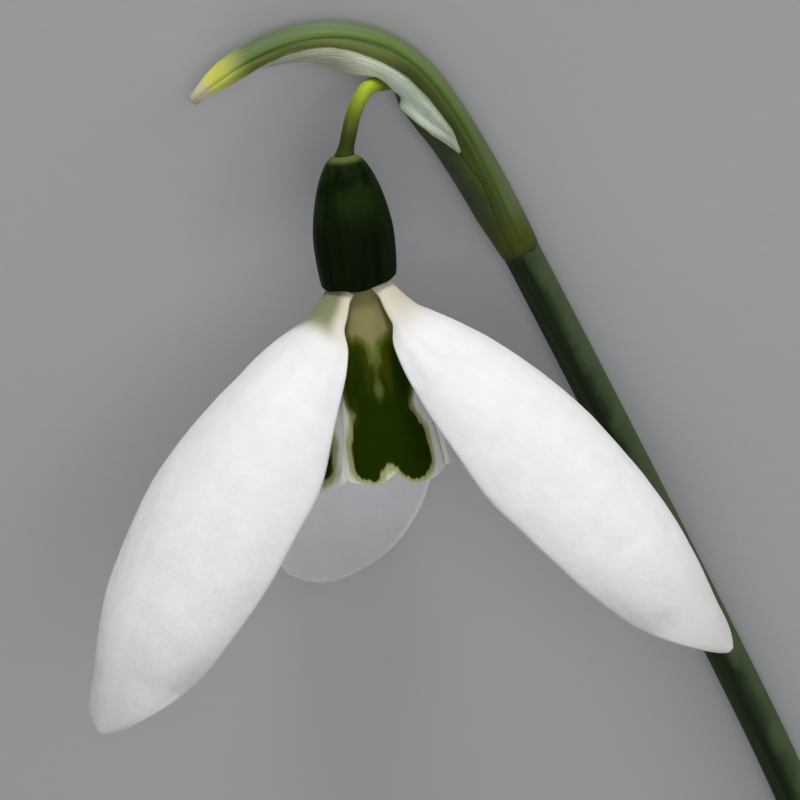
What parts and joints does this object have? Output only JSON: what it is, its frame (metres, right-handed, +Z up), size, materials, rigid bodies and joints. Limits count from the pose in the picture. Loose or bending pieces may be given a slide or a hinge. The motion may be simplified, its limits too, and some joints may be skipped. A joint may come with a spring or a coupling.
{
  "type": "snowdrop flower",
  "caption": "Picked snowdrop flower lying on a surface: white outer petals, green-marked inner petals, dark ovary, arching spathe and a length of scape.",
  "frame": {"origin": "middle of the part's box, on the surface that it lies on", "axes": "+Z up from the surface; +Y from the cut end of the scape towards the spathe; +X from the left petal towards the scape; the mouth of the flower faces -Y"},
  "size_m": [0.0565, 0.086, 0.0308],
  "materials": {
    "outer_petal": "matte",
    "inner_petal": "matte",
    "ovary": "satin",
    "scape": "satin",
    "spathe": "satin",
    "membrane": "matte",
    "pedicel": "satin",
    "anther": "matte"
  },
  "bodies": {
    "root": {"outer_tepal_left": "outer_petal", "outer_tepal_right": "outer_petal", "outer_tepal_back": "outer_petal", "inner_tepal_front": "inner_petal", "inner_tepal_left": "inner_petal", "inner_tepal_right": "inner_petal", "ovary": "ovary", "pedicel": "pedicel", "spathe": "spathe", "spathe_membrane": "membrane", "scape": "scape", "stamen_1": "anther", "stamen_2": "anther", "stamen_3": "anther", "stamen_4": "anther", "stamen_5": "anther", "stamen_6": "anther", "style": "inner_petal"}
  },
  "joints": []
}
